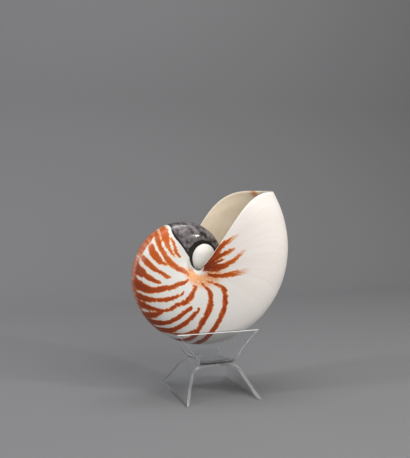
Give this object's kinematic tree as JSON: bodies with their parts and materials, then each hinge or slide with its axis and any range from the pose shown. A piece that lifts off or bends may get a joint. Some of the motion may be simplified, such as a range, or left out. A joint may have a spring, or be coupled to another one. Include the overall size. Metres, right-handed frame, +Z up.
{
  "type": "nautilus shell on stand",
  "caption": "Whole nautilus shell with an open body chamber and flame-striped flanks, resting in a clear acrylic stand made of bent hourglass sheets.",
  "frame": {"origin": "on the table, under the middle of the object's box", "axes": "+Z up, X along the coil's plane with the mouth opening up and towards -X, Y along the coil axis"},
  "size_m": [0.1456, 0.0804, 0.1824],
  "materials": {
    "shell": "satin",
    "acrylic": "clear"
  },
  "bodies": {
    "root": {"shell": "shell", "stand_cradle": "acrylic", "stand_legs": "acrylic"}
  },
  "joints": []
}
